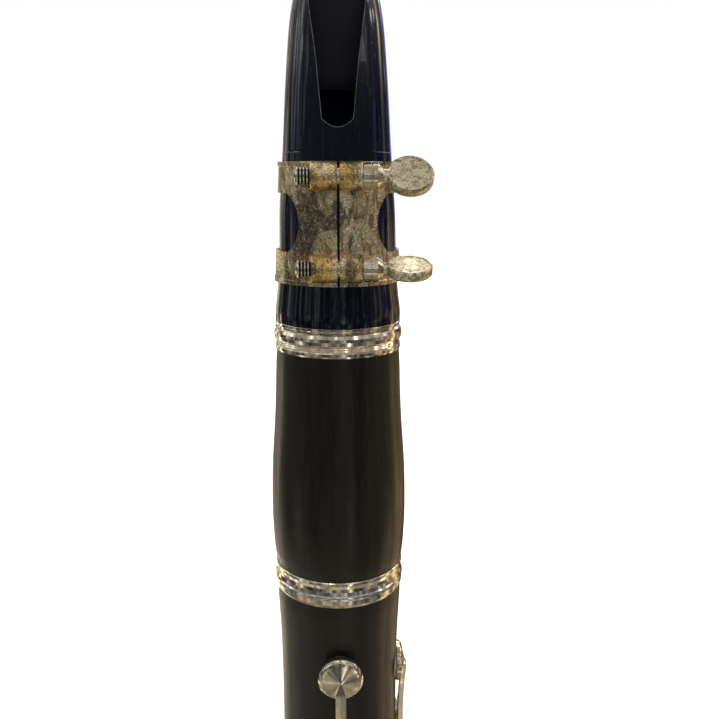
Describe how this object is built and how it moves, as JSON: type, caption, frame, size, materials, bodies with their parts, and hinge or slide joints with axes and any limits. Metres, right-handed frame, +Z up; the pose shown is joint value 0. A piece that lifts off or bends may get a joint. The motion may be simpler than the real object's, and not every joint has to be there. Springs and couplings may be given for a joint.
{
  "type": "clarinet",
  "caption": "Boehm-system clarinet: mouthpiece with screw ligature, barrel, two keyed wooden joints and bell, with working keys, finger rings and pull-apart tenons.",
  "frame": {"origin": "centre of the bell rim's bottom plane, on the bore axis", "axes": "+Z up the bore to the mouthpiece tip, -Y the thumb side with the mouthpiece window and register key, +X the player's right with the side keys"},
  "size_m": [0.0794, 0.0794, 0.6739],
  "materials": {
    "grenadilla": "satin oiled black grenadilla",
    "ebonite": "polished black hard rubber",
    "silver": "silver plate, lightly worn",
    "tarnished": "worn, tarnished plate over brass",
    "cork": "natural cork, greased",
    "pad": "bladder skin over felt",
    "steel": "blued and bright steel",
    "hard_rubber": "hard rubber bushes"
  },
  "bodies": {
    "bell": {"bell_body": "grenadilla", "bell_rings": "silver"},
    "lower_joint": {"lower_body": "grenadilla", "lower_socket_ring": "silver", "lower_cork": "cork", "lower_posts": "silver", "lower_steelwork": "steel", "thumb_rest": "silver", "thumb_rest_screws": "steel"},
    "upper_joint": {"upper_body": "grenadilla", "upper_corks": "cork", "upper_inserts": "hard_rubber", "upper_posts": "silver", "upper_steelwork": "steel"},
    "barrel": {"barrel_body": "grenadilla", "barrel_rings": "silver"},
    "mouthpiece": {"mouthpiece": "ebonite", "mouthpiece_cork": "cork"},
    "ligature": {"ligature_band": "tarnished"},
    "ligature_screw_upper": {"ligature_screw_upper": "tarnished"},
    "ligature_screw_lower": {"ligature_screw_lower": "tarnished"},
    "register": {"register_key": "silver", "register_pad": "pad"},
    "a": {"a_key": "silver", "a_pad": "pad"},
    "g_sharp": {"g_sharp_key": "silver", "g_sharp_pad": "pad"},
    "index_ring": {"index_ring_key": "silver", "index_ring_pad": "pad"},
    "thumb_ring": {"thumb_ring_key": "silver"},
    "bridge_ring": {"bridge_ring_key": "silver", "bridge_ring_pad": "pad"},
    "sliver_upper": {"sliver_upper_key": "silver", "sliver_upper_pad": "pad"},
    "trill_1": {"trill_1_key": "silver", "trill_1_pad": "pad"},
    "trill_2": {"trill_2_key": "silver", "trill_2_pad": "pad"},
    "side_f_sharp": {"side_f_sharp_key": "silver", "side_f_sharp_pad": "pad"},
    "side_b_flat": {"side_b_flat_key": "silver", "side_b_flat_pad": "pad"},
    "c_sharp": {"c_sharp_key": "silver", "c_sharp_pad": "pad"},
    "lower_ring": {"lower_ring_key": "silver", "lower_ring_pad": "pad"},
    "sliver_lower": {"sliver_lower_key": "silver", "sliver_lower_pad": "pad"},
    "f_c": {"f_c_key": "silver", "f_c_pad": "pad"},
    "e_b": {"e_b_key": "silver", "e_b_pad": "pad"},
    "g_sharp_d_sharp": {"g_sharp_d_sharp_key": "silver", "g_sharp_d_sharp_pad": "pad"},
    "f_sharp": {"f_sharp_key": "silver", "f_sharp_pad": "pad"},
    "lever_e_b": {"lever_e_b": "silver"},
    "lever_f_c": {"lever_f_c": "silver"},
    "lever_f_sharp": {"lever_f_sharp": "silver"}
  },
  "joints": [
    {"name": "lower_joint_pull", "type": "slide", "parent": "bell", "child": "lower_joint", "axis": [0, 0, 1], "range_m": [0, 0.021]},
    {"name": "upper_joint_pull", "type": "slide", "parent": "lower_joint", "child": "upper_joint", "axis": [0, 0, 1], "range_m": [0, 0.02]},
    {"name": "barrel_pull", "type": "slide", "parent": "upper_joint", "child": "barrel", "axis": [0, 0, 1], "range_m": [0, 0.015]},
    {"name": "mouthpiece_pull", "type": "slide", "parent": "barrel", "child": "mouthpiece", "axis": [0, 0, 1], "range_m": [0, 0.0165]},
    {"name": "ligature_slide", "type": "slide", "parent": "mouthpiece", "child": "ligature", "axis": [0, 0, 1], "range_m": [0, 0.07]},
    {"name": "ligature_screw_upper_turn", "type": "hinge", "parent": "ligature", "child": "ligature_screw_upper", "pos_m": [0, -0.01535, 0.63], "axis": [1, 0, 0], "continuous": true},
    {"name": "ligature_screw_lower_turn", "type": "hinge", "parent": "ligature", "child": "ligature_screw_lower", "pos_m": [0, -0.0162, 0.6111], "axis": [1, 0, 0], "continuous": true},
    {"name": "register_press", "type": "hinge", "parent": "upper_joint", "child": "register", "pos_m": [0, -0.0176, 0.481], "axis": [1, 0, 0], "range_deg": [0, 2.5], "stiffness_Nm_per_rad": 0.02, "springref_deg": -17.19},
    {"name": "a_press", "type": "hinge", "parent": "upper_joint", "child": "a", "pos_m": [0, 0.0176, 0.466], "axis": [-1, 0, 0], "range_deg": [0, 4.4], "stiffness_Nm_per_rad": 0.02, "springref_deg": -17.19},
    {"name": "g_sharp_press", "type": "hinge", "parent": "upper_joint", "child": "g_sharp", "pos_m": [-0.01178, 0.01308, 0.468], "axis": [-0.7431, -0.6691, 0], "range_deg": [0, 4.6], "stiffness_Nm_per_rad": 0.02, "springref_deg": -17.19},
    {"name": "thumb_ring_press", "type": "hinge", "parent": "upper_joint", "child": "thumb_ring", "pos_m": [-0.01681, -0.0082, 0.435], "axis": [0, 0, 1], "range_deg": [0, 4.3], "stiffness_Nm_per_rad": 0.02, "springref_deg": -17.19},
    {"name": "index_ring_press", "type": "hinge", "parent": "upper_joint", "child": "index_ring", "pos_m": [-0.01586, 0.00991, 0.43], "axis": [0, 0, -1], "range_deg": [0, 4.3]},
    {"name": "bridge_ring_press", "type": "hinge", "parent": "upper_joint", "child": "bridge_ring", "pos_m": [-0.01586, 0.00991, 0.375], "axis": [0, 0, -1], "range_deg": [0, 4.3]},
    {"name": "sliver_upper_press", "type": "hinge", "parent": "upper_joint", "child": "sliver_upper", "pos_m": [-0.01852, 0.0026, 0.376], "axis": [0, 0, -1], "range_deg": [0, 6], "stiffness_Nm_per_rad": 0.02, "springref_deg": -17.19},
    {"name": "trill_1_press", "type": "hinge", "parent": "upper_joint", "child": "trill_1", "pos_m": [0.01739, -0.00061, 0.447], "axis": [0.0349, 0.9994, 0], "range_deg": [0, 1.4], "stiffness_Nm_per_rad": 0.02, "springref_deg": -17.19},
    {"name": "trill_2_press", "type": "hinge", "parent": "upper_joint", "child": "trill_2", "pos_m": [0.01602, 0.0068, 0.417], "axis": [-0.3907, 0.9205, 0], "range_deg": [0, 1.3], "stiffness_Nm_per_rad": 0.02, "springref_deg": -17.19},
    {"name": "side_f_sharp_press", "type": "hinge", "parent": "upper_joint", "child": "side_f_sharp", "pos_m": [0.01164, 0.01293, 0.404], "axis": [-0.7431, 0.6691, 0], "range_deg": [0, 2.2], "stiffness_Nm_per_rad": 0.02, "springref_deg": -17.19},
    {"name": "side_b_flat_press", "type": "hinge", "parent": "upper_joint", "child": "side_b_flat", "pos_m": [0.0159, -0.00708, 0.369], "axis": [0.4067, 0.9135, 0], "range_deg": [0, 4.2], "stiffness_Nm_per_rad": 0.02, "springref_deg": -17.19},
    {"name": "c_sharp_press", "type": "hinge", "parent": "upper_joint", "child": "c_sharp", "pos_m": [-0.01785, -0.00445, 0.3405], "axis": [0.2419, -0.9703, 0], "range_deg": [0, 4.5], "stiffness_Nm_per_rad": 0.02, "springref_deg": -17.19},
    {"name": "lower_ring_press", "type": "hinge", "parent": "lower_joint", "child": "lower_ring", "pos_m": [-0.01586, 0.00991, 0.275], "axis": [0, 0, -1], "range_deg": [0, 4.3], "stiffness_Nm_per_rad": 0.02, "springref_deg": -17.19},
    {"name": "sliver_lower_press", "type": "hinge", "parent": "lower_joint", "child": "sliver_lower", "pos_m": [0.01734, 0.00701, 0.266], "axis": [0, 0, 1], "range_deg": [0, 7], "stiffness_Nm_per_rad": 0.02, "springref_deg": -17.19},
    {"name": "f_c_press", "type": "hinge", "parent": "lower_joint", "child": "f_c", "pos_m": [0.01921, 0.00479, 0.213], "axis": [0, 0, 1], "range_deg": [0, 6], "stiffness_Nm_per_rad": 0.02, "springref_deg": -17.19},
    {"name": "e_b_press", "type": "hinge", "parent": "lower_joint", "child": "e_b", "pos_m": [0.01921, -0.00479, 0.172], "axis": [0, 0, 1], "range_deg": [0, 6], "stiffness_Nm_per_rad": 0.02, "springref_deg": -17.19},
    {"name": "g_sharp_d_sharp_press", "type": "hinge", "parent": "lower_joint", "child": "g_sharp_d_sharp", "pos_m": [0.01921, -0.00479, 0.226], "axis": [0, 0, 1], "range_deg": [0, 7], "stiffness_Nm_per_rad": 0.02, "springref_deg": -17.19},
    {"name": "f_sharp_press", "type": "hinge", "parent": "lower_joint", "child": "f_sharp", "pos_m": [0.01517, -0.01273, 0.174], "axis": [0, 0, 1], "range_deg": [0, 8], "stiffness_Nm_per_rad": 0.02, "springref_deg": -17.19},
    {"name": "lever_e_b_press", "type": "hinge", "parent": "lower_joint", "child": "lever_e_b", "pos_m": [-0.01609, -0.00785, 0.262], "axis": [-0.4384, 0.8988, 0], "range_deg": [0, 1.6]},
    {"name": "lever_f_c_press", "type": "hinge", "parent": "lower_joint", "child": "lever_f_c", "pos_m": [-0.00756, -0.01622, 0.254], "axis": [-0.9063, 0.4226, 0], "range_deg": [0, 1.7]},
    {"name": "lever_f_sharp_press", "type": "hinge", "parent": "lower_joint", "child": "lever_f_sharp", "pos_m": [-0.01255, -0.01277, 0.27], "axis": [-0.7133, 0.7009, 0], "range_deg": [0, 1.75]}
  ],
  "couplings": [
    {"joint": "index_ring_press", "follows": "thumb_ring_press", "ratio": 1},
    {"joint": "bridge_ring_press", "follows": "lower_ring_press", "ratio": 1},
    {"joint": "lever_e_b_press", "follows": "e_b_press", "ratio": 0.2369},
    {"joint": "lever_f_c_press", "follows": "f_c_press", "ratio": 0.2558},
    {"joint": "lever_f_sharp_press", "follows": "f_sharp_press", "ratio": 0.2039}
  ]
}
